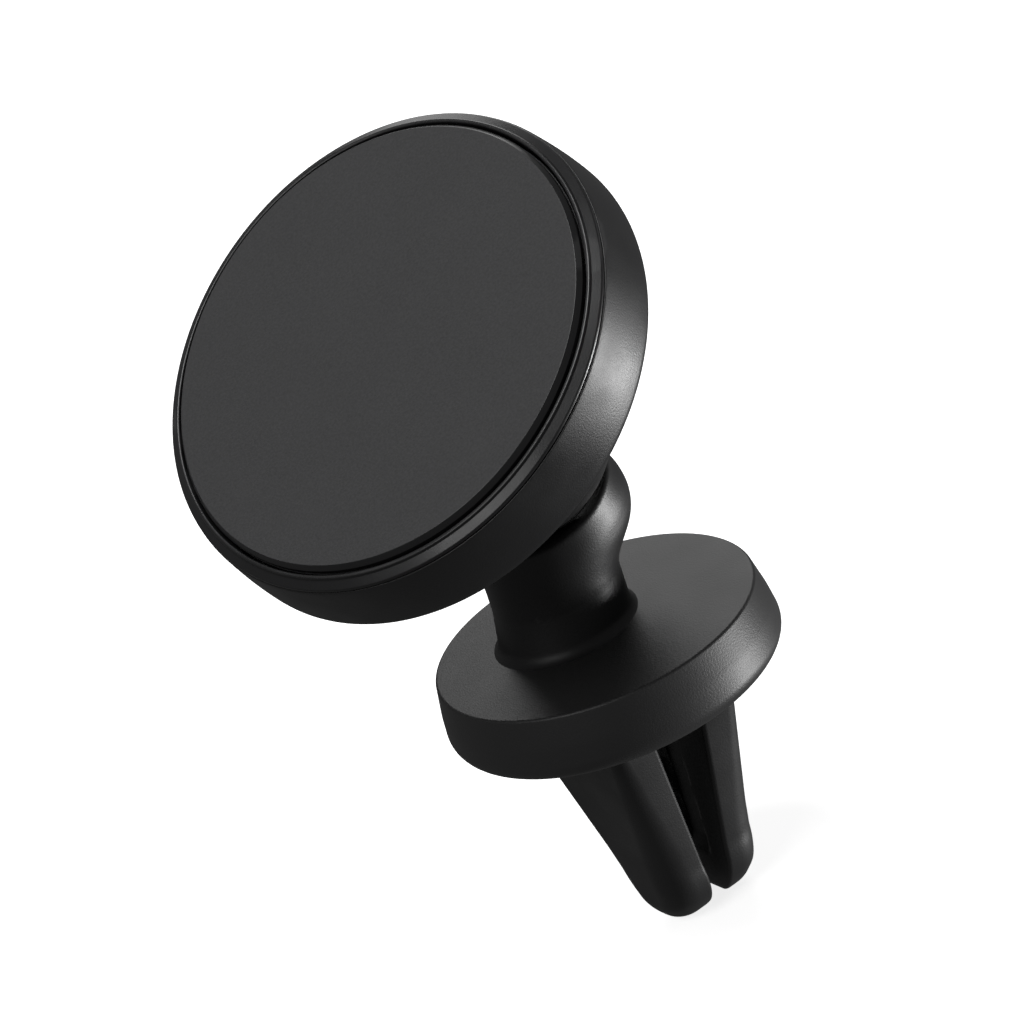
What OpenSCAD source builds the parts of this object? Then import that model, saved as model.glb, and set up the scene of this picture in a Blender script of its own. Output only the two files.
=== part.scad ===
// Magnetic car phone mount: a round magnetic head on a ball joint, a leaning
// neck, a round flange and a sprung two-jaw clip for an air-vent slat.
// Origin: centre of the flange's underside. +Z runs up the flange's axis and
// the jaws hang below it. X is the direction in which the jaws open.

/* [Head] */
// Diameter of the flat contact pad
pad_d = 54; // [50:0.5:56]
// Thickness of the contact pad
pad_t = 1.2; // [0.8:0.1:1.4]
// Largest diameter of the head's housing
head_d = 60; // [60:0.5:64]
// Thickness of the head, from the pad's face to the housing's rear wall
head_t = 11; // [10.5:0.25:12]
// Number of magnets in the ring
magnet_count = 16; // [8:1:18]

/* [Ball joint] */
// Diameter of the ball
ball_d = 13; // [12:0.5:13]
// Distance from the pad's face back to the ball's centre
ball_setback = 24.5; // [24:0.25:26]
// Offset of the ball's centre along X
ball_x = -1; // [-1.5:0.1:0]
// Offset of the ball's centre along Y
ball_y = 2.1; // [1.5:0.1:3]
// Height of the ball's centre above the flange's underside
ball_z = 35.7; // [35:0.1:37]
// Lean of the head's axis from vertical, as stored
head_tilt = 34.7; // [28:0.1:38]
// Compass direction that the head leans away from
head_azimuth = 25.8; // [15:0.1:60]
// Diameter of the locking nut that closes over the ball
nut_d = 27; // [27:0.25:28]

/* [Neck] */
// Lean of the neck's socket barrel from vertical
neck_tilt = 20; // [15:1:24]
// Compass direction that the barrel leans away from
neck_azimuth = 45; // [30:1:60]
// Diameter of the socket barrel
barrel_d = 18.6; // [18:0.1:19]
// Diameter of the neck where it stands on the flange
foot_d = 16.6; // [16:0.1:17]
// Offset of the neck's foot along X
foot_x = -1.8; // [-2.5:0.1:0]
// Offset of the neck's foot along Y
foot_y = 3.5; // [2:0.1:4]

/* [Flange] */
// Diameter of the flange at its widest, near the bottom
flange_d = 42; // [41:0.5:44]
// Diameter of the flange's top face
flange_top_d = 40; // [39:0.5:40]
// Height of the flange
flange_h = 8.4; // [8.2:0.1:9]

/* [Clip] */
// Length of the jaws below the flange
jaw_len = 31; // [28:0.5:34]
// Gap between the jaws level with the flange's underside
gap_root = 7.6; // [7:0.1:8]
// Gap between the jaws near their tips
gap_tip = 2.2; // [1.8:0.1:2.6]
// Distance across both jaws level with the flange's underside
span_root = 19.4; // [19:0.1:20]
// Distance across both jaws near their tips
span_tip = 10; // [9:0.1:11]
// Width of each jaw level with the flange's underside
jaw_w_root = 22.4; // [21:0.1:22.6]
// Width of each jaw near its tip
jaw_w_tip = 11; // [10:0.1:13]

/* [Hidden] */
$fn = 96;
eps = 0.01;

// Running clearance of a turning fit
fit = 0.05;

// Head, in the head's own frame: origin at the ball's centre, +Z out of the pad
pad_r = pad_d / 2;
pad_side = 0.35;
pad_base_z = ball_setback - pad_t;
glue_t = 0.2;
tray_top_z = pad_base_z - glue_t;
tray_r = pad_r + 0.4;
tray_rear_z = tray_top_z - 2.6;
tray_lip_z = tray_top_z - 4;
magnet_out_r = pad_r - 0.6;
magnet_in_r = magnet_out_r - 5;
magnet_t = 2.4;
magnet_top_z = tray_top_z - 0.6;
shunt_t = 0.7;
head_r = head_d / 2;
rear_z = ball_setback - head_t;
wall = 1.8;
seam_z = ball_setback - 1.85;
seam_w = 0.15;
ring_r = head_r - 0.62;
ring_gap_r = pad_r + 0.7;
spigot_r = head_r - 2.05;
screw_circle_r = 16;
screw_r = 1.1;
screw_head_r = 2.1;

// Ball joint
ball_r = ball_d / 2;
stem_r = 2.75;
cup_r = ball_r + 2.1;
cup_low_z = -3.8;
cup_top_z = 7.3;
boss_r = 10.8;
boss_end_z = -6.2;
nut_r = nut_d / 2;
nut_open_r = 8.4;

// Neck, in the barrel's own frame: origin at the ball's centre, +Z up the barrel
dish_r = nut_r + 0.45;
barrel_r = barrel_d / 2;
rim_z = -sqrt(dish_r * dish_r - barrel_r * barrel_r);
barrel_end_z = rim_z - 10.5;
barrel_round = 4.9;
barrel_swell = 0.7;
insert_r = 7.6;
insert_low_z = -dish_r - 1.25;
collar_r = 4.5;
collar_t = 1.5;
washer_t = 0.4;
collar_low_z = insert_low_z - 0.1 - collar_t;
pivot_r = 1.9;
pivot_low_z = collar_low_z - washer_t - 1.4;
foot_r = foot_d / 2;
foot_flare = 1.2;
neck_screw_pitch = 9.6;
neck_screw_top_z = 14;

// Flange
flange_r = flange_d / 2;
flange_top_r = flange_top_d / 2;
flange_wall = 2.4;
flange_round = 2;
base_r = 18.35;
base_low_z = 0.5;
base_t = 2;
base_top_z = base_low_z + base_t;
cavity_top_z = flange_h - flange_wall;
base_screw_x = 13.4;
base_screw_y = 7.5;

// Clip
pin_r = 1;
pin_x = 6.3;
pin_z = 3.6;
pin_half_len = 13.3;
knuckle_r = 2.1;
knuckle_half_w = 11.2;
spring_half_w = 3.8;
lug_in_y = 11.6;
lug_out_y = 13.3;
taper_z = -(jaw_len - 3);
sleeve_t = 1.2;
groove_depth = 0.8;
core_top_z = -1;
root_half_w = 9.4;
root_out_x = 8.1;

// Points of a circular arc in a profile
function arc(cx, cy, r, a0, a1, n = 12) =
    [for (i = [0 : n]) [cx + r * cos(a0 + (a1 - a0) * i / n), cy + r * sin(a0 + (a1 - a0) * i / n)]];

// Half of the gap between the jaws, half of their span and half of their width at height z
function at_z(root, tip, z) = (root + (tip - root) * z / taper_z) / 2;

// Moves a piece from the head's own frame to its place
module on_head() {
    translate([ball_x, ball_y, ball_z]) rotate([0, -head_tilt, head_azimuth]) children();
}

// Moves a piece from the socket barrel's own frame to its place
module on_barrel() {
    translate([ball_x, ball_y, ball_z]) rotate([0, -neck_tilt, neck_azimuth]) children();
}

module ring(r_out, r_in, z0, z1) {
    translate([0, 0, z0]) difference() {
        cylinder(r = r_out, h = z1 - z0);
        translate([0, 0, -1]) cylinder(r = r_in, h = z1 - z0 + 2);
    }
}

// A countersunk screw, head up, with its top face at z = 0
module countersunk_screw(r, head_r, len) {
    cross_w = 0.5;
    cross_d = 0.5;
    difference() {
        union() {
            translate([0, 0, -len]) cylinder(r = r, h = len);
            translate([0, 0, -(head_r - r)]) cylinder(r1 = r, r2 = head_r, h = head_r - r);
        }
        for (a = [0, 90])
            rotate([0, 0, a])
                translate([-head_r * 0.6, -cross_w / 2, -cross_d])
                    cube([head_r * 1.2, cross_w, cross_d + 1]);
    }
}

// ---- Head -------------------------------------------------------------

module face_pad() {
    color("#3c3c3d") on_head() rotate_extrude()
        polygon([
            [0, pad_base_z], [pad_r + pad_side, pad_base_z],
            [pad_r + pad_side, ball_setback - 0.7], [pad_r, ball_setback], [0, ball_setback]
        ]);
}

module pad_adhesive() {
    color("#b8b8b0") on_head()
        translate([0, 0, tray_top_z]) cylinder(r = pad_r - 0.2, h = glue_t);
}

module trim_ring() {
    lip_r = 0.5;
    lip_z = ball_setback - 1.15;
    color("#1a1a1b") on_head() rotate_extrude()
        polygon(concat(
            [[ring_gap_r, seam_z - 0.9], [ring_gap_r, lip_z]],
            arc(ring_gap_r + lip_r, lip_z, lip_r, 180, 0, 10),
            [
                [ring_gap_r + 2 * lip_r, ball_setback - 1.2],
                [ring_r - 0.3, ball_setback - 1.25], [ring_r, ball_setback - 1.6],
                [ring_r, seam_z], [ring_r - 0.5, seam_z], [ring_r - 0.5, seam_z - seam_w],
                [spigot_r, seam_z - seam_w], [spigot_r, seam_z - 0.9]
            ]
        ));
}

module magnet_tray() {
    color("#222223") on_head() difference() {
        union() {
            translate([0, 0, magnet_top_z]) cylinder(r = tray_r, h = tray_top_z - magnet_top_z);
            translate([0, 0, tray_rear_z]) cylinder(r = magnet_in_r - fit, h = tray_top_z - tray_rear_z);
            ring(tray_r, magnet_out_r + fit, tray_lip_z, tray_top_z);
        }
        for (a = [45 : 90 : 315])
            rotate([0, 0, a]) translate([screw_circle_r, 0, tray_top_z]) {
                translate([0, 0, -5]) cylinder(r = screw_r, h = 6);
                translate([0, 0, screw_r - screw_head_r])
                    cylinder(r1 = screw_r, r2 = screw_head_r, h = screw_head_r - screw_r + eps);
            }
    }
}

module ring_magnets() {
    step = 360 / magnet_count;
    gap_deg = 1.2;
    color("#c9cbce") on_head()
        for (i = [0 : magnet_count - 1])
            rotate([0, 0, i * step]) translate([0, 0, magnet_top_z - magnet_t])
                rotate_extrude(angle = step - gap_deg)
                    translate([magnet_in_r, 0]) square([magnet_out_r - magnet_in_r, magnet_t]);
}

module shunt_ring() {
    top_z = magnet_top_z - magnet_t;
    color("#8d9094") on_head()
        ring(magnet_out_r, magnet_in_r, top_z - shunt_t, top_z);
}

module back_housing() {
    front_z = seam_z - seam_w;
    rear_round = 1.4;
    belly = 0.5;
    color("#1b1b1c") on_head() difference() {
        union() {
            // Drum with a slightly bellied side and a rounded rear edge
            rotate_extrude()
                polygon(concat(
                    [[0, front_z]],
                    [for (i = [0 : 8]) [
                        head_r - belly + belly * sin(90 * i / 8),
                        front_z + (rear_z + rear_round + 1.6 - front_z) * i / 8
                    ]],
                    arc(head_r - rear_round, rear_z + rear_round, rear_round, 0, -90, 10),
                    [[0, rear_z]]
                ));
            // Socket boss, tapered at its open end where the nut squeezes it
            rotate_extrude()
                polygon([
                    [0, rear_z + 1], [boss_r, rear_z + 1], [boss_r, -3],
                    [boss_r - 1.8, boss_end_z], [0, boss_end_z]
                ]);
        }
        // Cavity for the magnets, leaving the screw posts standing
        difference() {
            translate([0, 0, rear_z + wall]) cylinder(r = spigot_r + fit, h = head_t);
            for (a = [45 : 90 : 315])
                rotate([0, 0, a]) translate([screw_circle_r, 0, rear_z])
                    cylinder(r = 2.6, h = tray_rear_z - rear_z);
        }
        for (a = [45 : 90 : 315])
            rotate([0, 0, a]) translate([screw_circle_r, 0, tray_top_z - 8.2])
                cylinder(r = screw_r, h = 9);
        // Core of the boss from the front
        translate([0, 0, cup_top_z + 3]) cylinder(r = 7, h = head_t);
        // Socket for the ball cup and the wave washer, and its retaining lip
        translate([0, 0, cup_low_z - 0.1]) cylinder(r = cup_r + fit, h = cup_top_z + 1.3 - cup_low_z + 0.1);
        translate([0, 0, boss_end_z - 1]) cylinder(r = 7.6, h = 4);
        // Slits that let the boss close on the cup
        for (a = [0 : 60 : 300])
            rotate([0, 0, a]) translate([5, -0.4, boss_end_z - 1]) cube([8, 0.8, 8]);
    }
}

module housing_screws() {
    color("#9a9da1") on_head()
        for (a = [45 : 90 : 315])
            rotate([0, 0, a]) translate([screw_circle_r, 0, tray_top_z])
                countersunk_screw(screw_r, screw_head_r - 0.05, 8);
}

module wave_washer() {
    color("#b4b6b8") on_head()
        ring(cup_r - 0.3, 4.5, cup_top_z + 0.1, cup_top_z + 1.3);
}

module locking_nut() {
    top_z = rear_z - 0.6;
    open_z = -sqrt(nut_r * nut_r - nut_open_r * nut_open_r);
    open_deg = asin(open_z / nut_r);
    color("#1a1a1b") on_head() rotate_extrude()
        polygon(concat(
            [[boss_r + fit, top_z], [nut_r - 0.6, top_z], [nut_r, top_z - 0.6]],
            arc(0, 0, nut_r, 0, open_deg, 20),
            [
                [nut_open_r - 0.3, boss_end_z - 0.3], [boss_r - 1.75, boss_end_z - 0.3],
                [boss_r - 1.75, boss_end_z], [boss_r + fit, -3]
            ]
        ));
}

// ---- Ball joint -------------------------------------------------------

module ball_cup_half(z0, z1) {
    difference() {
        translate([0, 0, z0]) cylinder(r = cup_r, h = z1 - z0);
        sphere(r = ball_r + fit);
    }
}

module ball_cup_front() {
    color("#d8d6cc") on_head() ball_cup_half(0.05, cup_top_z);
}

module ball_cup_rear() {
    color("#d8d6cc") on_head() ball_cup_half(cup_low_z, -0.05);
}

module ball_stud() {
    color("#a9abae") on_barrel() union() {
        sphere(r = ball_r);
        translate([0, 0, collar_low_z]) cylinder(r = stem_r, h = -collar_low_z - 4);
        translate([0, 0, collar_low_z]) cylinder(r = collar_r, h = collar_t);
        translate([0, 0, pivot_low_z]) cylinder(r = pivot_r, h = collar_low_z - pivot_low_z + 1);
    }
}

// ---- Neck -------------------------------------------------------------

module neck_shell() {
    rim_out = -rim_z * sin(neck_tilt);
    run_x = ball_x + rim_out * cos(neck_azimuth) - foot_x;
    run_y = ball_y + rim_out * sin(neck_azimuth) - foot_y;
    rise = ball_z + rim_z * cos(neck_tilt) - flange_h;
    lean = atan(sqrt(run_x * run_x + run_y * run_y) / rise);
    lean_azimuth = atan2(run_y, run_x);
    color("#1c1c1d") difference() {
        union() {
            // Body of the neck, leaning from the round foot to the barrel's rim
            difference() {
                translate([foot_x, foot_y, flange_h]) rotate([0, lean, lean_azimuth])
                    translate([0, 0, -4]) cylinder(r = foot_r, h = 40);
                translate([-50, -50, flange_h - 50]) cube([100, 100, 50]);
                on_barrel() translate([0, 0, rim_z]) cylinder(r = 50, h = 60);
            }
            // Closed rounded end of the socket barrel, a little fuller than its rim
            on_barrel() rotate_extrude()
                polygon(concat(
                    [[0, rim_z], [barrel_r, rim_z]],
                    arc(
                        barrel_r + barrel_swell - barrel_round, barrel_end_z + barrel_round,
                        barrel_round, 0, -90, 12
                    ),
                    [[0, barrel_end_z]]
                ));
            // Flared foot
            translate([foot_x, foot_y, flange_h]) rotate_extrude()
                polygon(concat(
                    [[0, foot_flare + 1], [foot_r, foot_flare + 1]],
                    arc(foot_r + foot_flare, foot_flare, foot_flare, 180, 270, 8),
                    [[0, 0]]
                ));
        }
        on_barrel() {
            sphere(r = dish_r);
            translate([0, 0, insert_low_z]) cylinder(r = insert_r, h = 12);
            translate([0, 0, collar_low_z - washer_t]) cylinder(r = collar_r + 0.2, h = 6);
            translate([0, 0, pivot_low_z - 0.2]) cylinder(r = pivot_r + fit, h = 4);
        }
        for (s = [-1, 1])
            translate([foot_x, foot_y + s * neck_screw_pitch / 2, flange_h - 1])
                cylinder(r = screw_r, h = neck_screw_top_z - flange_h + 1);
    }
}

module socket_insert() {
    color("#2a2a2b") on_barrel() difference() {
        translate([0, 0, insert_low_z]) cylinder(r = insert_r, h = rim_z - insert_low_z);
        sphere(r = dish_r);
        translate([0, 0, insert_low_z - 1]) cylinder(r = stem_r + fit, h = 12);
    }
}

module friction_washer() {
    color("#d0c9b0") on_barrel()
        ring(collar_r, pivot_r + 0.1, collar_low_z - washer_t, collar_low_z - 0.02);
}

module neck_screws() {
    head_h = 1.4;
    shank = neck_screw_top_z - cavity_top_z - 0.3;
    color("#9a9da1")
        for (s = [-1, 1])
            translate([foot_x, foot_y + s * neck_screw_pitch / 2, cavity_top_z]) difference() {
                union() {
                    cylinder(r = screw_r, h = shank);
                    translate([0, 0, -head_h]) cylinder(r = screw_head_r - 0.2, h = head_h);
                }
                for (a = [0, 90])
                    translate([0, 0, -head_h]) rotate([0, 0, a]) cube([2, 0.5, 1.2], center = true);
            }
}

// ---- Flange -----------------------------------------------------------

module flange_cover() {
    edge = 0.35;
    color("#232324") difference() {
        union() {
            difference() {
                rotate_extrude()
                    polygon(concat(
                        [[0, 0]],
                        arc(flange_r - flange_round, flange_round, flange_round, -90, 0, 12),
                        [[flange_top_r, flange_h - edge], [flange_top_r - edge, flange_h], [0, flange_h]]
                    ));
                translate([0, 0, -1]) cylinder(r = base_r + fit, h = cavity_top_z + 1);
            }
            // Posts for the base's screws
            for (x = [-1, 1], y = [-1, 1])
                translate([x * base_screw_x, y * base_screw_y, base_top_z])
                    cylinder(r = 2.2, h = cavity_top_z - base_top_z + 0.5);
        }
        for (x = [-1, 1], y = [-1, 1])
            translate([x * base_screw_x, y * base_screw_y, 0]) cylinder(r = screw_r, h = cavity_top_z);
        for (s = [-1, 1])
            translate([foot_x, foot_y + s * neck_screw_pitch / 2, 0])
                cylinder(r = screw_r, h = flange_h + 1);
    }
}

module flange_base() {
    window_x = 21.2;
    window_y = 23;
    lug_top_z = cavity_top_z - 0.2;
    color("#1e1e1f") difference() {
        union() {
            translate([0, 0, base_low_z]) cylinder(r = base_r, h = base_t);
            // Lugs that carry the ends of the jaw pins
            for (s = [-1, 1])
                translate([-9, s > 0 ? lug_in_y : -lug_out_y, base_top_z - 1])
                    cube([18, lug_out_y - lug_in_y, lug_top_z - base_top_z + 1]);
        }
        translate([-window_x / 2, -window_y / 2, -1]) cube([window_x, window_y, 10]);
        for (x = [-1, 1])
            translate([x * pin_x, 20, pin_z]) rotate([90, 0, 0]) cylinder(r = pin_r, h = 40);
        for (x = [-1, 1], y = [-1, 1])
            translate([x * base_screw_x, y * base_screw_y, base_low_z]) {
                translate([0, 0, -1]) cylinder(r = screw_r, h = 5);
                translate([0, 0, -eps])
                    cylinder(r1 = screw_head_r, r2 = screw_r, h = screw_head_r - screw_r + eps);
            }
    }
}

module base_screws() {
    len = cavity_top_z - base_low_z - 0.4;
    color("#9a9da1")
        for (x = [-1, 1], y = [-1, 1])
            translate([x * base_screw_x, y * base_screw_y, base_low_z])
                rotate([180, 0, 0]) countersunk_screw(screw_r, screw_head_r - 0.05, len);
}

// ---- Clip -------------------------------------------------------------

module jaw_pins() {
    color("#b4b6b8")
        for (x = [-1, 1])
            translate([x * pin_x, pin_half_len, pin_z]) rotate([90, 0, 0])
                cylinder(r = pin_r, h = 2 * pin_half_len);
}

module jaw_springs() {
    wire_r = 0.4;
    turns = 9;
    coil_r = pin_r + 0.15 + wire_r;
    color("#7d8084")
        for (x = [-1, 1])
            translate([x * pin_x, -turns * wire_r, pin_z]) rotate([-90, 0, 0]) rotate_extrude()
                // Close-wound turns, drawn as one ribbed sleeve
                polygon(concat(
                    [[coil_r - wire_r, 0]],
                    [for (i = [0 : turns - 1], k = [0 : 4])
                        [coil_r + wire_r * sin(36 + 27 * k), wire_r * (2 * i + 1 - cos(36 + 27 * k))]],
                    [[coil_r - wire_r, 2 * turns * wire_r]]
                ));
}

// Tapered jaw on the +X side, shrunk by a wall thickness on every outer side
module jaw_blank(shrink, top_z) {
    in_root = at_z(gap_root, gap_tip, top_z) + shrink;
    in_tip = gap_tip / 2 + shrink;
    out_root = at_z(span_root, span_tip, top_z) - shrink;
    out_tip = span_tip / 2 - shrink;
    half_root = at_z(jaw_w_root, jaw_w_tip, top_z) - shrink;
    half_tip = jaw_w_tip / 2 - shrink;
    low_z = -jaw_len + shrink;
    side_r = (out_tip - in_tip) * 0.5;
    face_r = half_tip * 0.8;
    intersection() {
        // Side view: flat inner face, tapered outer face, rounded tip
        rotate([90, 0, 0]) translate([0, 0, -20]) linear_extrude(height = 40)
            polygon(concat(
                [[in_root, top_z], [in_tip, low_z + 1.2], [in_tip + 1, low_z]],
                arc(out_tip - side_r, low_z + 2 * side_r, 2 * side_r, -75, 0, 8),
                [[out_root, top_z]]
            ));
        // Front view: tapered to a rounded tip
        rotate([90, 0, 90]) linear_extrude(height = 20)
            polygon(concat(
                [[half_root, top_z], [-half_root, top_z]],
                arc(-(half_tip - face_r), low_z + face_r, face_r, 180, 270, 10),
                arc(half_tip - face_r, low_z + face_r, face_r, -90, 0, 10)
            ));
    }
}

// Root of the +X jaw, which runs up through the base's window
module jaw_root(low_z, high_z) {
    in_x = at_z(gap_root, gap_tip, core_top_z) + sleeve_t;
    translate([in_x, -root_half_w, low_z])
        cube([root_out_x - in_x, 2 * root_half_w, high_z - low_z]);
}

module jaw_core() {
    difference() {
        union() {
            jaw_blank(sleeve_t, core_top_z);
            jaw_root(core_top_z - 1, pin_z);
            for (s = [-1, 1])
                translate([pin_x, s > 0 ? knuckle_half_w : -spring_half_w - 0.3, pin_z]) rotate([90, 0, 0])
                    cylinder(r = knuckle_r, h = knuckle_half_w - spring_half_w - 0.3);
        }
        translate([pin_x, 20, pin_z]) rotate([90, 0, 0]) cylinder(r = pin_r + fit, h = 40);
        // Room for the torsion spring
        translate([pin_x - 6, -spring_half_w - 0.3, pin_z - 2.2]) cube([12, 2 * spring_half_w + 0.6, 6]);
    }
}

module jaw_sleeve() {
    face_deg = atan((gap_root - gap_tip) / 2 / -taper_z);
    difference() {
        jaw_blank(0, core_top_z + 0.6);
        jaw_blank(sleeve_t, core_top_z);
        // Mouth for the core's root
        jaw_root(core_top_z - 0.5, 2);
        // Shallow groove down the gripping face
        translate([gap_root / 2, 0, 0]) rotate([0, face_deg, 0])
            translate([-2, -2.2, -24]) cube([2 + groove_depth, 4.4, 30]);
    }
}

module left_jaw_core() {
    color("#2c2c2d") mirror([1, 0, 0]) jaw_core();
}

module left_jaw_sleeve() {
    color("#202021") mirror([1, 0, 0]) jaw_sleeve();
}

module right_jaw_core() {
    color("#2c2c2d") jaw_core();
}

module right_jaw_sleeve() {
    color("#202021") jaw_sleeve();
}

face_pad();
pad_adhesive();
trim_ring();
magnet_tray();
ring_magnets();
shunt_ring();
back_housing();
housing_screws();
wave_washer();
locking_nut();
ball_cup_front();
ball_cup_rear();
ball_stud();
neck_shell();
socket_insert();
friction_washer();
neck_screws();
flange_cover();
flange_base();
base_screws();
jaw_pins();
jaw_springs();
left_jaw_core();
left_jaw_sleeve();
right_jaw_core();
right_jaw_sleeve();
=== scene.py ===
import math

import bmesh
import bpy
import numpy as np
from mathutils import Matrix, Vector


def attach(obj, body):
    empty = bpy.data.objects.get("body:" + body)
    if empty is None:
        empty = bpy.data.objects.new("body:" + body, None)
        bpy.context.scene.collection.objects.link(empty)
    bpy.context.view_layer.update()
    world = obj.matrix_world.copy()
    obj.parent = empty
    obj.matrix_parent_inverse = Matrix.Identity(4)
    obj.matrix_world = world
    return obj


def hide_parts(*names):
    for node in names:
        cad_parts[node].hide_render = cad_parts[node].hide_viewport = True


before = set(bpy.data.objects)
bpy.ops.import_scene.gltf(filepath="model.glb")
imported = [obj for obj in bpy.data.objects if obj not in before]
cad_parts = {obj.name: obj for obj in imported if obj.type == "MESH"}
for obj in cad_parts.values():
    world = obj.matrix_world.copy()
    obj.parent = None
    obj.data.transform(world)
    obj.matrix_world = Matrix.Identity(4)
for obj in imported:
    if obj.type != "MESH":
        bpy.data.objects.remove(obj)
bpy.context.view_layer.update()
scene = bpy.context.scene

# ---- Sizes, in millimetres, as in the CAD ------------------------------------

MM = 0.001
SEGMENTS = 192
BALL = Vector((-1.0, 2.1, 35.7))
HEAD_TILT, HEAD_AZIMUTH = 34.7, 25.8
NECK_TILT, NECK_AZIMUTH = 20.0, 45.0
FACE_Z = 24.5
PAD_R = 27.0
HEAD_R = 30.0
REAR_Z = 13.5
BOSS_R = 10.8
BOSS_END_Z = -6.2
NUT_R = 13.5
DISH_R = 13.95
BARREL_R = 9.3
BARREL_ROUND = 4.9
RIM_Z = -math.sqrt(DISH_R ** 2 - BARREL_R ** 2)
BARREL_END_Z = RIM_Z - 10.5
FOOT = Vector((-1.8, 3.5, 8.4))
POST_R = 8.3
FLARE_R = 1.5
FLANGE_TOP = 8.4
JAW_TOP = -0.4
JAW_LOW = -31.0
TIP_TOP = -23.4
GROOVE_DEPTH = 0.8
FLOOR_Z = -31.0
FLOOR_HALF = 3.0


def leaning(tilt, azimuth):
    """Matrix of a frame at the ball's centre, leaning as the CAD's does."""
    turn = Matrix.Rotation(math.radians(azimuth), 4, "Z")
    lean = Matrix.Rotation(math.radians(-tilt), 4, "Y")
    return Matrix.Translation(BALL) @ turn @ lean


HEAD = leaning(HEAD_TILT, HEAD_AZIMUTH)
BARREL = leaning(NECK_TILT, NECK_AZIMUTH)
UPRIGHT = Matrix.Identity(4)

# ---- Meshes -------------------------------------------------------------------


def new_object(name, mesh, body, material, replaced):
    obj = bpy.data.objects.new(name, mesh)
    scene.collection.objects.link(obj)
    mesh.materials.append(material)
    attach(obj, body)
    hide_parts(*replaced)
    return obj


def finish_mesh(bm, name, sharp_deg=32.0):
    bmesh.ops.recalc_face_normals(bm, faces=bm.faces)
    mesh = bpy.data.meshes.new(name)
    bm.to_mesh(mesh)
    bm.free()
    mesh.shade_smooth()
    mesh.set_sharp_from_angle(angle=math.radians(sharp_deg))
    return mesh


def rounded(points, steps=7):
    """A profile of (r, z) pairs, with an arc at each corner given as (r, z, radius)."""
    out = []
    count = len(points)
    for i, point in enumerate(points):
        radius = point[2] if len(point) > 2 else 0.0
        here = Vector(point[:2])
        if radius <= 0.0 or i in (0, count - 1):
            out.append((here.x, here.y))
            continue
        back = (Vector(points[i - 1][:2]) - here).normalized()
        ahead = (Vector(points[i + 1][:2]) - here).normalized()
        half = 0.5 * back.angle(ahead)
        reach = radius / math.tan(half)
        centre = here + (back + ahead).normalized() * (radius / math.sin(half))
        start = here + back * reach - centre
        end = here + ahead * reach - centre
        sweep = start.angle_signed(end)
        for k in range(steps + 1):
            angle = -sweep * k / steps
            c, s = math.cos(angle), math.sin(angle)
            out.append((centre.x + start.x * c - start.y * s, centre.y + start.x * s + start.y * c))
    return out


def lathe(name, profile, matrix, segments=SEGMENTS):
    """A closed solid turned from a profile of (r, z) pairs in millimetres."""
    bm = bmesh.new()
    place = Matrix.Scale(MM, 4) @ matrix
    rings = []
    for r, z in profile:
        if r < 1e-6:
            rings.append([bm.verts.new(place @ Vector((0, 0, z)))])
            continue
        ring = []
        for k in range(segments):
            angle = 2 * math.pi * k / segments
            ring.append(bm.verts.new(place @ Vector((r * math.cos(angle), r * math.sin(angle), z))))
        rings.append(ring)
    pairs = list(zip(rings, rings[1:]))
    if len(rings[0]) > 1:
        pairs.append((rings[-1], rings[0]))
    for a, b in pairs:
        for k in range(segments):
            m = (k + 1) % segments
            if len(a) == 1 and len(b) == 1:
                break
            if len(a) == 1:
                bm.faces.new((a[0], b[m], b[k]))
            elif len(b) == 1:
                bm.faces.new((a[k], a[m], b[0]))
            else:
                bm.faces.new((a[k], a[m], b[m], b[k]))
    return finish_mesh(bm, name)


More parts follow.
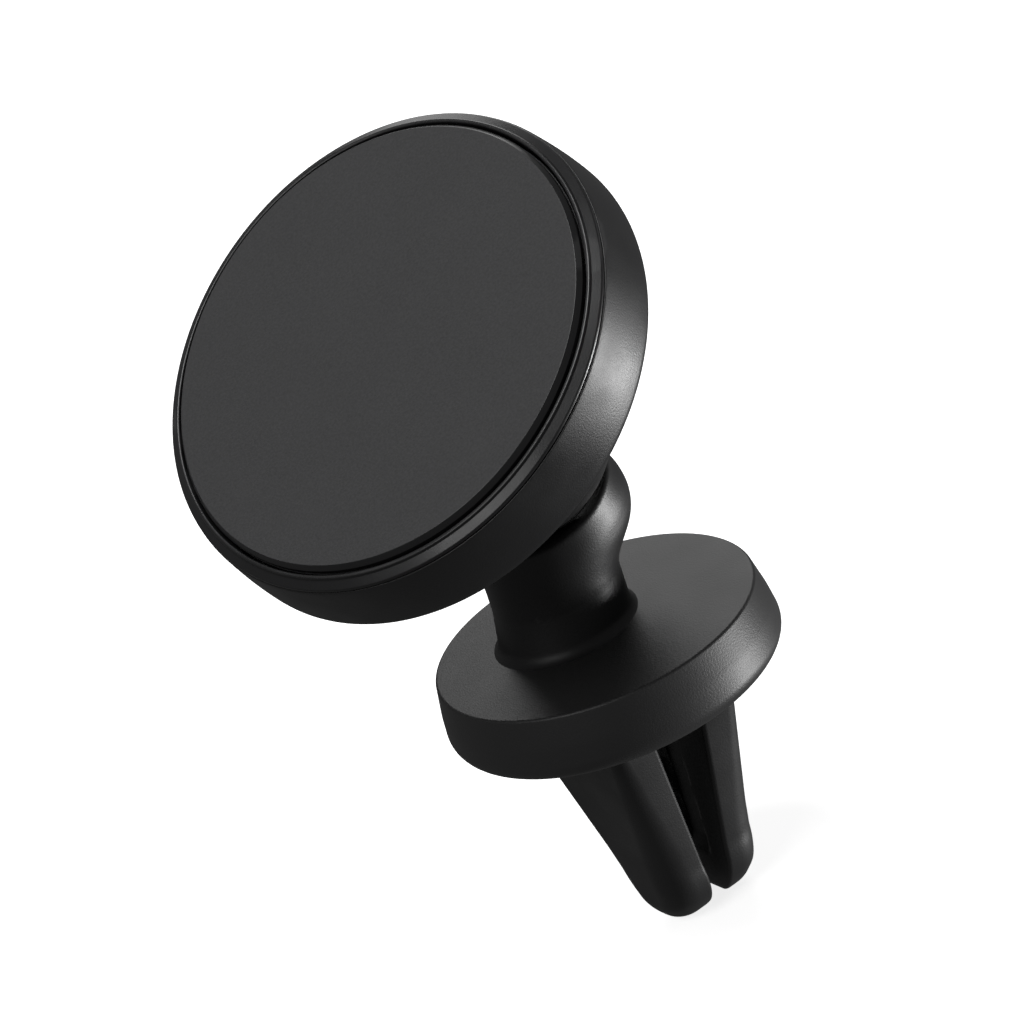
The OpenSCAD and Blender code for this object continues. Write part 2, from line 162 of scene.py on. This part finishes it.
def surface_net(field, low, high, cell):
    """Points and quads of the surface where field is 0, relaxed and laid on it."""
    axes = [np.arange(low[k], high[k] + cell, cell) for k in range(3)]
    grid = np.stack(np.meshgrid(*axes, indexing="ij"), -1)
    inside = field(grid.reshape(-1, 3)).reshape(grid.shape[:3]) < 0
    n = [s - 1 for s in inside.shape]
    count = np.zeros(n, int)
    for i in (0, 1):
        for j in (0, 1):
            for k in (0, 1):
                count += inside[i:i + n[0], j:j + n[1], k:k + n[2]]
    crossed = (count > 0) & (count < 8)
    index = np.full(n, -1)
    index[crossed] = np.arange(crossed.sum())
    points = np.array(low) + (np.argwhere(crossed) + 0.5) * cell
    quads = []
    for a in range(3):
        b, c = (a + 1) % 3, (a + 2) % 3
        first = np.take(inside, range(n[a]), axis=a)
        second = np.take(inside, range(1, n[a] + 1), axis=a)
        edges = np.argwhere(first != second)
        keep = (edges[:, b] > 0) & (edges[:, c] > 0) & (edges[:, b] < n[b]) & (edges[:, c] < n[c])
        edges = edges[keep]
        ring = []
        for db, dc in ((0, 0), (-1, 0), (-1, -1), (0, -1)):
            cells = edges.copy()
            cells[:, b] += db
            cells[:, c] += dc
            ring.append(index[tuple(cells.T)])
        quad = np.stack(ring, 1)
        turned = ~first[tuple(edges.T)]
        quad[turned] = quad[turned][:, ::-1]
        quads.append(quad)
    quads = np.concatenate(quads)

    def project(p, times):
        """Moves points onto the surface along the field's slope."""
        h = 0.02
        for _ in range(times):
            slope = np.stack([
                (field(p + h * e) - field(p - h * e)) / (2 * h) for e in np.eye(3)
            ], -1)
            size = np.maximum((slope ** 2).sum(-1), 0.2)
            step = np.clip(field(p) / size, -0.5, 0.5)
            p = p - slope * step[:, None]
        return p

    pairs = np.concatenate([quads[:, [k, (k + 1) % 4]] for k in range(4)])
    # Even out the points, then lay them back on the surface
    for _ in range(6):
        total = np.zeros_like(points)
        links = np.zeros(len(points))
        for a, b in ((0, 1), (1, 0)):
            np.add.at(total, pairs[:, a], points[pairs[:, b]])
            np.add.at(links, pairs[:, a], 1)
        points = 0.5 * points + 0.5 * total / links[:, None]
        points = project(points, 2)
    return points, quads


def smooth_min(a, b, k):
    h = np.clip(0.5 + 0.5 * (b - a) / k, 0, 1)
    return b + (a - b) * h - k * h * (1 - h)


def smooth_max(a, b, k):
    return -smooth_min(-a, -b, k)


def neck_field(p):
    """Approximate signed distance to the neck's shell, in millimetres."""
    in_barrel = np.array(BARREL.inverted())
    q = p @ in_barrel[:3, :3].T + in_barrel[:3, 3]
    rho = np.hypot(q[:, 0], q[:, 1])
    # Socket barrel, fuller towards its rounded closed end
    fuller = np.clip((RIM_Z - q[:, 2]) / 5.0, 0, 1)
    across = rho - (BARREL_R + 0.8 * fuller * fuller * (3 - 2 * fuller) - BARREL_ROUND)
    along = (BARREL_END_Z + BARREL_ROUND) - q[:, 2]
    barrel = np.hypot(np.maximum(across, 0), np.maximum(along, 0)) - BARREL_ROUND
    barrel = barrel + np.minimum(np.maximum(across, along), 0)
    # Leaning post from the foot up to the barrel's rim
    rim = np.array(BARREL @ Vector((0, 0, RIM_Z)))
    foot = np.array(FOOT)
    lean = (rim - foot) / np.linalg.norm(rim - foot)
    out = p - foot
    t = out @ lean
    post = np.linalg.norm(out - t[:, None] * lean, axis=1) - POST_R
    # Slim waist, and a flare where the post stands on the flange
    height = p[:, 2] - FLANGE_TOP
    post = post + 0.35 * np.clip(1 - np.abs(height - 5.1) / 5.0, 0, 1)
    short = np.clip(FLARE_R - 0.25 - height, 0, FLARE_R)
    post = post - (FLARE_R - np.sqrt(FLARE_R ** 2 - short ** 2))
    post = np.maximum(post, -0.7 - height)
    body = smooth_min(post, barrel, 1.9)
    # Rim, concave end, insert seat and bores
    body = smooth_max(body, q[:, 2] - (RIM_Z - 0.8), 0.5)
    dish = np.linalg.norm(q, axis=1) - DISH_R
    body = smooth_max(body, -dish, 0.5)
    for radius, floor_z in ((7.65, -15.25), (4.7, -17.2), (1.95, -18.8)):
        bore = np.maximum(rho - radius, floor_z - q[:, 2])
        body = np.maximum(body, -bore)
    return body


def neck_mesh(name):
    points, quads = surface_net(neck_field, (-14, -9, 7.6), (15, 18, 31.5), 0.33)
    mesh = bpy.data.meshes.new(name)
    mesh.from_pydata((points * MM).tolist(), [], quads.tolist())
    bm = bmesh.new()
    bm.from_mesh(mesh)
    bpy.data.meshes.remove(mesh)
    return finish_mesh(bm, name, 50.0)


def mix(a, b, t):
    return a + (b - a) * t


def jaw_section(z):
    """Inner x, outer x and half width of a jaw at height z."""
    x_in = mix(3.76, 1.1, min((JAW_TOP - z) / 29.4, 1.0))
    if z < -29.3:
        x_in += 1.1 * ((-29.3 - z) / 1.7) ** 2
    if z > -27.1:
        x_out = mix(9.63, 6.95, (JAW_TOP - z) / 26.7)
    else:
        x_out = 3.05 + math.sqrt(max(3.9 ** 2 - (z + 27.1) ** 2, 1.0))
    if z > TIP_TOP:
        half = mix(11.12, 6.18, (JAW_TOP - z) / 23.0)
    else:
        half = max(6.18 * math.sqrt(max(1 - ((z - TIP_TOP) / 7.6) ** 2, 0.0)), 0.7)
    return x_in, x_out, half


def smooth_step(t):
    t = min(max(t, 0.0), 1.0)
    return t * t * (3 - 2 * t)


def jaw_outline(z, inset):
    """Closed outline of a jaw at height z, drawn in by inset."""
    x_in, x_out, half = jaw_section(z)
    x_in, x_out, half = x_in + inset, x_out - inset, half - inset
    deep = max(x_out - x_in, 0.3)
    r_in = min(0.55, 0.2 * deep)
    r_out = min(mix(1.4, 3.6, min(-z / 20.0, 1.0)), 0.75 * deep, 0.85 * half)
    points = []
    face = 40
    for k in range(face + 1):
        y = mix(half - r_in, -(half - r_in), k / face)
        across = smooth_step((2.5 - abs(y)) / 0.6)
        groove = GROOVE_DEPTH * across * smooth_step((z + 25.2) / 2.0)
        points.append((x_in + groove, y))
    for k in range(1, 7):
        a = math.radians(180) + math.radians(90) * k / 6
        points.append((x_in + r_in + r_in * math.cos(a), -(half - r_in) + r_in * math.sin(a)))
    for k in range(13):
        a = math.radians(270) + math.radians(90) * k / 12
        points.append((x_out - r_out + r_out * math.cos(a), -(half - r_out) + r_out * math.sin(a)))
    back = 12
    for k in range(1, back):
        y = mix(-(half - r_out), half - r_out, k / back)
        points.append((x_out, y))
    for k in range(13):
        a = math.radians(90) * k / 12
        points.append((x_out - r_out + r_out * math.cos(a), half - r_out + r_out * math.sin(a)))
    for k in range(6):
        a = math.radians(90) + math.radians(90) * k / 6
        points.append((x_in + r_in + r_in * math.cos(a), half - r_in + r_in * math.sin(a)))
    return points


def jaw_mesh(name, side):
    bm = bmesh.new()
    levels = [(JAW_TOP, 0.5), (JAW_TOP - 0.08, 0.28), (JAW_TOP - 0.22, 0.1), (JAW_TOP - 0.5, 0.0)]
    levels += [(z, 0.0) for z in np.linspace(-1.6, -23.2, 38)]
    drop = JAW_LOW - TIP_TOP
    for k in range(1, 27):
        z = TIP_TOP + drop * math.sin(math.radians(90 * k / 26.0))
        levels.append((max(z, JAW_LOW + 0.02), 0.0 if k < 22 else 0.04 * (k - 21)))
    rings = []
    for z, inset in levels:
        ring = [bm.verts.new((side * x * MM, y * MM, z * MM)) for x, y in jaw_outline(z, inset)]
        rings.append(ring)
    for a, b in zip(rings, rings[1:]):
        for k in range(len(a)):
            m = (k + 1) % len(a)
            bm.faces.new((a[k], a[m], b[m], b[k]))
    bm.faces.new(rings[0])
    bm.faces.new(rings[-1])
    return finish_mesh(bm, name, 40.0)


# ---- Materials ----------------------------------------------------------------


def node_material(name, colour, rough, metallic=0.0, grain=0.0, grain_scale=9000.0,
                  rough_spread=0.06, specular=0.5, tint=0.08, edge=0.0):
    """A procedural finish with fine grain, uneven roughness and slightly worn edges."""
    mat = bpy.data.materials.new(name)
    mat.use_nodes = True
    tree = mat.node_tree
    nodes, links = tree.nodes, tree.links
    shader = nodes["Principled BSDF"]
    shader.inputs["Base Color"].default_value = (*colour, 1)
    shader.inputs["Roughness"].default_value = rough
    shader.inputs["Metallic"].default_value = metallic
    shader.inputs["Specular IOR Level"].default_value = specular
    coords = nodes.new("ShaderNodeTexCoord")
    cloud = nodes.new("ShaderNodeTexNoise")
    cloud.inputs["Scale"].default_value = 130.0
    cloud.inputs["Detail"].default_value = 4.0
    links.new(coords.outputs["Object"], cloud.inputs["Vector"])
    spread = nodes.new("ShaderNodeMapRange")
    spread.inputs["From Min"].default_value = 0.3
    spread.inputs["From Max"].default_value = 0.7
    spread.inputs["To Min"].default_value = rough - rough_spread
    spread.inputs["To Max"].default_value = rough + rough_spread
    links.new(cloud.outputs["Fac"], spread.inputs["Value"])
    links.new(spread.outputs["Result"], shader.inputs["Roughness"])
    shade = nodes.new("ShaderNodeMix")
    shade.data_type = "RGBA"
    shade.inputs["A"].default_value = (*[c * (1 - tint) for c in colour], 1)
    shade.inputs["B"].default_value = (*[c * (1 + tint) for c in colour], 1)
    speck = nodes.new("ShaderNodeTexNoise")
    speck.inputs["Scale"].default_value = grain_scale
    speck.inputs["Detail"].default_value = 2.0
    links.new(coords.outputs["Object"], speck.inputs["Vector"])
    links.new(speck.outputs["Fac"], shade.inputs["Factor"])
    colour_out = shade.outputs["Result"]
    if edge > 0.0:
        geometry = nodes.new("ShaderNodeNewGeometry")
        worn = nodes.new("ShaderNodeMapRange")
        worn.inputs["From Min"].default_value = 0.53
        worn.inputs["From Max"].default_value = 0.62
        worn.inputs["To Max"].default_value = edge
        links.new(geometry.outputs["Pointiness"], worn.inputs["Value"])
        rubbed = nodes.new("ShaderNodeMix")
        rubbed.data_type = "RGBA"
        rubbed.inputs["B"].default_value = (*[min(c * 3 + 0.03, 1) for c in colour], 1)
        links.new(worn.outputs["Result"], rubbed.inputs["Factor"])
        links.new(colour_out, rubbed.inputs["A"])
        colour_out = rubbed.outputs["Result"]
    links.new(colour_out, shader.inputs["Base Color"])
    if grain > 0.0:
        bump = nodes.new("ShaderNodeBump")
        bump.inputs["Strength"].default_value = grain
        bump.inputs["Distance"].default_value = 0.00006
        links.new(speck.outputs["Fac"], bump.inputs["Height"])
        links.new(bump.outputs["Normal"], shader.inputs["Normal"])
    return mat


PAD = node_material("pad_silicone", (0.036, 0.036, 0.037), 0.72, grain=0.6, grain_scale=3300,
                    tint=0.3, specular=0.3, rough_spread=0.02)
TRIM = node_material("trim_plastic", (0.012, 0.012, 0.0125), 0.3, grain=0.12, grain_scale=5200,
                     edge=0.3)
HOUSING = node_material("housing_plastic", (0.0135, 0.0135, 0.014), 0.42, grain=0.35,
                        grain_scale=5200, edge=0.25)
NECK = node_material("neck_plastic", (0.0125, 0.0125, 0.013), 0.43, grain=0.3,
                     grain_scale=4800, edge=0.2)
FLANGE = node_material("flange_plastic", (0.03, 0.03, 0.0305), 0.46, grain=0.45,
                       grain_scale=4600, edge=0.25, rough_spread=0.015)
JAW = node_material("jaw_rubber", (0.016, 0.016, 0.0165), 0.46, grain=0.35,
                    grain_scale=4400, edge=0.2)
INNER = node_material("inner_plastic", (0.015, 0.015, 0.016), 0.5, grain=0.3)
CORE = node_material("jaw_core_nylon", (0.02, 0.02, 0.021), 0.48, grain=0.3)
TAPE = node_material("foam_tape", (0.6, 0.6, 0.56), 0.85, grain=0.4)
ACETAL = node_material("acetal", (0.7, 0.69, 0.64), 0.35, grain=0.1)
NICKEL = node_material("nickel", (0.62, 0.63, 0.64), 0.2, metallic=1.0, grain=0.05)
ZINC = node_material("zinc_steel", (0.45, 0.46, 0.48), 0.36, metallic=1.0, grain=0.15)
SPRING = node_material("spring_steel", (0.42, 0.43, 0.45), 0.3, metallic=1.0, grain=0.1)
STEEL = node_material("polished_steel", (0.55, 0.56, 0.58), 0.16, metallic=1.0, grain=0.03)

CAD_FINISH = {
    "pad_adhesive": TAPE,
    "magnet_tray": INNER,
    "ring_magnets": NICKEL,
    "shunt_ring": ZINC,
    "housing_screws": ZINC,
    "wave_washer": SPRING,
    "ball_cup_front": ACETAL,
    "ball_cup_rear": ACETAL,
    "ball_stud": STEEL,
    "socket_insert": INNER,
    "friction_washer": ACETAL,
    "neck_screws": ZINC,
    "flange_base": INNER,
    "base_screws": ZINC,
    "jaw_pins": SPRING,
    "jaw_springs": SPRING,
    "left_jaw_core": CORE,
    "right_jaw_core": CORE,
}
for name, material in CAD_FINISH.items():
    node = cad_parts[name]
    if node.material_slots:
        node.material_slots[0].material = material
    else:
        node.data.materials.append(material)

# ---- Pieces -------------------------------------------------------------------

pad_profile = rounded([
    (0, FACE_Z - 1.2), (PAD_R + 0.35, FACE_Z - 1.2, 0.1), (PAD_R + 0.35, FACE_Z - 0.6, 0.1),
    (PAD_R - 0.12, FACE_Z, 0.12), (PAD_R - 0.4, FACE_Z), (0, FACE_Z),
])
pad = new_object("pad_face", lathe("pad_face", pad_profile, HEAD), "head", PAD,
                 ["face_pad"])
# The pad's bevelled edge takes the smoother trim finish; its darker colour is painted shade,
# standing for the shade in the gap between pad and bezel
pad.data.materials.append(TRIM)
to_head = (Matrix.Scale(MM, 4) @ HEAD).inverted()
for face in pad.data.polygons:
    local = to_head @ face.center
    if math.hypot(local.x, local.y) > PAD_R - 0.15:
        face.material_index = 1

trim_profile = rounded([
    (PAD_R + 0.7, FACE_Z - 2.7), (PAD_R + 0.72, FACE_Z - 0.65, 0.2),
    (PAD_R + 1.2, FACE_Z - 0.65, 0.2), (PAD_R + 1.3, FACE_Z - 0.98, 0.06),
    (HEAD_R - 0.68, FACE_Z - 1.5, 0.3), (HEAD_R - 0.62, FACE_Z - 1.85, 0.08),
    (HEAD_R - 1.1, FACE_Z - 1.85),
    (HEAD_R - 1.1, FACE_Z - 2.0), (HEAD_R - 2.05, FACE_Z - 2.0), (HEAD_R - 2.05, FACE_Z - 2.7),
])
new_object("bezel", lathe("bezel", trim_profile, HEAD), "head", TRIM,
           ["trim_ring"])

front_z = FACE_Z - 2.0
side = []
for k in range(1, 15):
    t = k / 14
    side.append((HEAD_R - 0.5 + 0.5 * math.sin(0.5 * math.pi * t), mix(front_z, REAR_Z + 2.0, t)))
drum_profile = rounded(
    [(0, 10.3), (7, 10.3), (7, REAR_Z + 1.8), (HEAD_R - 2.0, REAR_Z + 1.8),
     (HEAD_R - 2.0, front_z), (HEAD_R - 0.52, front_z, 0.14)]
    + side
    + [(HEAD_R, REAR_Z, 1.5), (BOSS_R, REAR_Z), (BOSS_R, -3.0), (BOSS_R - 1.8, BOSS_END_Z),
       (7.6, BOSS_END_Z), (7.6, -3.9), (8.65, -3.9), (8.65, 8.6), (0, 8.6)],
    10)
new_object("drum", lathe("drum", drum_profile, HEAD), "head", HOUSING,
           ["back_housing"])

open_z = -math.sqrt(NUT_R ** 2 - 8.4 ** 2)
dome = []
for k in range(25):
    a = math.asin(open_z / NUT_R) * k / 24
    dome.append((NUT_R * math.cos(a), NUT_R * math.sin(a)))
nut_profile = rounded(
    [(BOSS_R + 0.05, REAR_Z - 0.6), (NUT_R, REAR_Z - 0.6, 0.6)] + dome
    + [(8.1, BOSS_END_Z - 0.3), (BOSS_R - 1.75, BOSS_END_Z - 0.3),
       (BOSS_R - 1.75, BOSS_END_Z), (BOSS_R + 0.05, -3.0)])
new_object("nut", lathe("nut", nut_profile, HEAD), "head", HOUSING,
           ["locking_nut"])

new_object("neck", neck_mesh("neck"), "base", NECK, ["neck_shell"])

cover_profile = rounded([
    (0, 6.0), (18.4, 6.0), (18.4, 0.0, 0.05), (21.25, 0.0, 2.1), (20.72, 4.6, 12.0),
    (19.98, 8.4, 0.4), (0, 8.4),
], 12)
new_object("flange", lathe("flange", cover_profile, UPRIGHT), "base", FLANGE,
           ["flange_cover"])

for label, sign in (("left", -1), ("right", 1)):
    new_object(label + "_jaw_skin", jaw_mesh(label + "_jaw_skin", sign), label + "_jaw",
               JAW, [label + "_jaw_sleeve"])

# ---- Floor, light and camera --------------------------------------------------

floor_mesh = bpy.data.meshes.new("floor")
corners = [
    (x * FLOOR_HALF, y * FLOOR_HALF, (FLOOR_Z - 0.02) * MM)
    for x, y in ((-1, -1), (1, -1), (1, 1), (-1, 1))
]
floor_mesh.from_pydata(corners, [], [(0, 1, 2, 3)])
floor = bpy.data.objects.new("floor", floor_mesh)
scene.collection.objects.link(floor)
floor_material = bpy.data.materials.new("floor_white")
floor_material.use_nodes = True
floor_shader = floor_material.node_tree.nodes["Principled BSDF"]
floor_shader.inputs["Base Color"].default_value = (0.93, 0.93, 0.93, 1)
floor_shader.inputs["Roughness"].default_value = 0.9
floor_shader.inputs["Emission Color"].default_value = (1, 1, 1, 1)
floor_shader.inputs["Emission Strength"].default_value = 0.8
floor_mesh.materials.append(floor_material)
floor.visible_diffuse = False
floor.visible_glossy = False
floor.visible_shadow = False

world = bpy.data.worlds.new("studio")
scene.world = world
world.use_nodes = True
tree = world.node_tree
background = tree.nodes["Background"]
background.inputs["Color"].default_value = (1, 1, 1, 1)
path = tree.nodes.new("ShaderNodeLightPath")
level = tree.nodes.new("ShaderNodeMapRange")
level.inputs["To Min"].default_value = 0.1
level.inputs["To Max"].default_value = 1.0
tree.links.new(path.outputs["Is Camera Ray"], level.inputs["Value"])
tree.links.new(level.outputs["Result"], background.inputs["Strength"])


def area_light(name, place, target, size, power):
    data = bpy.data.lights.new(name, "AREA")
    data.shape = "DISK"
    data.size = size
    data.energy = power
    lamp = bpy.data.objects.new(name, data)
    lamp.location = place
    lamp.rotation_euler = (Vector(target) - Vector(place)).to_track_quat("-Z", "Y").to_euler()
    scene.collection.objects.link(lamp)


CAMERA_AT = Vector((-0.2267, -0.4774, 0.2651))
right = Vector((0.7678, -0.5344, -0.3533))
up = Vector((0.5121, 0.1805, 0.8397))
forward = Vector((0.385, 0.8256, -0.4123))
middle = Vector((0, 0, 0.02))
area_light("key", middle + Vector((0.54, -0.34, -0.24)), middle, 0.2, 4.6)
area_light("top", middle + Vector((-0.15, 0.0, 0.8)), middle, 0.5, 4.6)
area_light("fill", middle - 0.45 * right - 0.6 * forward + 0.1 * up, middle, 0.4, 1.2)
area_light("back", middle + Vector((0.42, 0.62, 0.4)), middle, 0.5, 1.2)

lens = bpy.data.cameras.new("camera")
lens.sensor_width = 36.0
lens.lens = 175.8
lens.clip_end = 20.0
camera = bpy.data.objects.new("camera", lens)
side_axis = right.normalized()
back_axis = -forward.normalized()
up_axis = back_axis.cross(side_axis).normalized()
turn = Matrix((side_axis, up_axis, back_axis)).transposed().to_4x4()
camera.matrix_world = Matrix.Translation(CAMERA_AT) @ turn
scene.collection.objects.link(camera)
bpy.context.scene.camera = camera
scene.view_settings.view_transform = "Standard"
